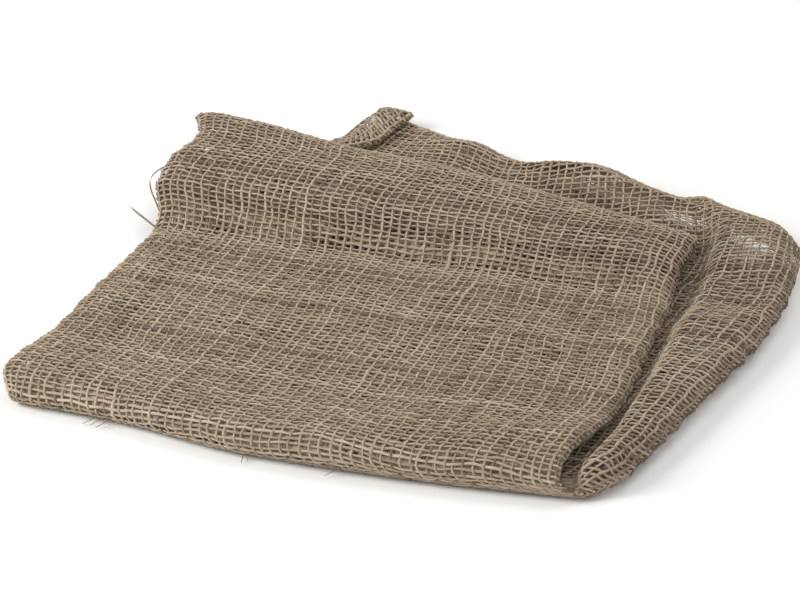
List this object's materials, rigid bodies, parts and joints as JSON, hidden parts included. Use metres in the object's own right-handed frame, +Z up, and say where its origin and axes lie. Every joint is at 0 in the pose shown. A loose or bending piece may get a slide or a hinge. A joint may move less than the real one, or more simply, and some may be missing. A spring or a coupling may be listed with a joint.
{
  "type": "jute plant cover",
  "caption": "Open-weave jute sack cover for a plant, folded across with its free end rolled under into a soft hump, lying flat.",
  "frame": {"origin": "middle of the rectangle that the folded cover covers on the ground, at ground level", "axes": "+X across the cover to the side where its lower run spreads out as a roll, +Y from the front fold back to the closed end, +Z up"},
  "size_m": [0.3678, 0.4282, 0.0396],
  "materials": {
    "jute": "undyed open plain weave, dry and matt"
  },
  "bodies": {
    "root": {"jute_cover": "jute"}
  },
  "joints": []
}
